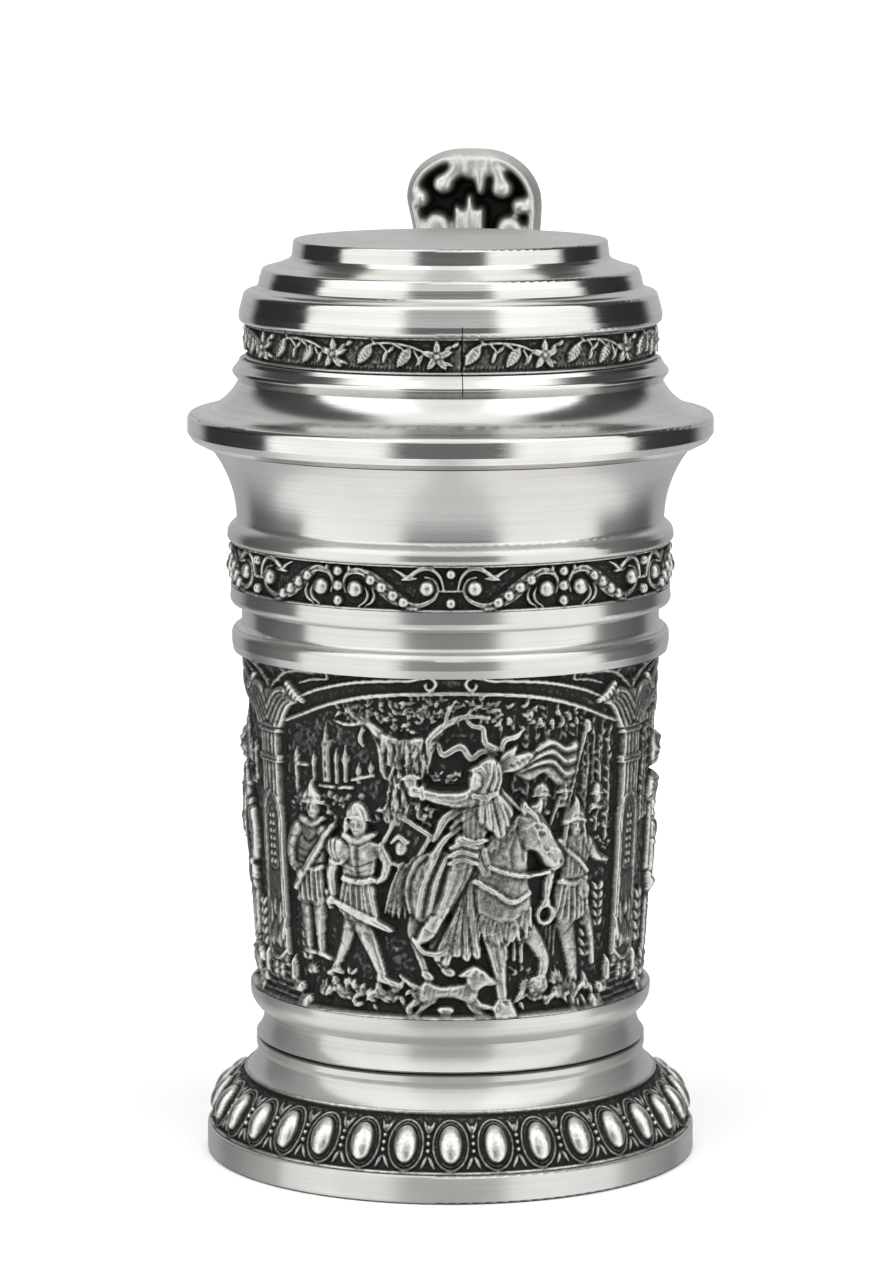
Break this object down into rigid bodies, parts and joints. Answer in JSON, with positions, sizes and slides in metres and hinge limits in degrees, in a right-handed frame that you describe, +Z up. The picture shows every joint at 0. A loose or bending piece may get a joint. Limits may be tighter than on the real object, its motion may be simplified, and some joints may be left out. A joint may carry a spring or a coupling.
{
  "type": "lidded tankard",
  "caption": "Lidded pewter tankard with a turned foot, relief panels, bead-and-scroll borders, a flared lip, a side handle and a hinged stepped lid with a thumb lift.",
  "frame": {"origin": "centre of the foot's resting face, on the vessel's axis", "axes": "+Z up along the vessel's axis, +Y towards the handle and hinge, -Y the front of the relief, +X to the right as seen from the front"},
  "size_m": [0.0994, 0.1315, 0.189],
  "materials": {
    "turned_pewter": "bright turned pewter with fine lathe lines",
    "antique_relief": "cast pewter, blackened in the hollows and rubbed bright on the high points",
    "polished_casting": "cast pewter, hand polished, dark in the hollows",
    "plain_inside": "satin pewter",
    "pin": "polished pin"
  },
  "bodies": {
    "tankard": {"foot_rim": "turned_pewter", "gadroon_strip_front": "antique_relief", "gadroon_strip_right": "antique_relief", "gadroon_strip_left": "antique_relief", "foot_stem": "turned_pewter", "foot_collar": "turned_pewter", "bottom_disc": "plain_inside", "barrel": "plain_inside", "relief_panel_front": "antique_relief", "relief_panel_right": "antique_relief", "relief_panel_left": "antique_relief", "middle_ring": "turned_pewter", "scroll_strip_front": "antique_relief", "scroll_strip_right": "antique_relief", "scroll_strip_left": "antique_relief", "lip": "turned_pewter", "handle": "polished_casting", "hinge_pin": "pin"},
    "lid": {"lid_flange": "turned_pewter", "flower_band_right": "antique_relief", "flower_band_left": "antique_relief", "lid_crown": "turned_pewter", "lid_spigot": "plain_inside", "lid_strap": "polished_casting", "thumb_lift": "polished_casting"}
  },
  "joints": [
    {"name": "lid_hinge", "type": "hinge", "parent": "tankard", "child": "lid", "pos_m": [0, 0.056, 0.1396], "axis": [-1, 0, 0], "range_deg": [0, 100]}
  ]
}
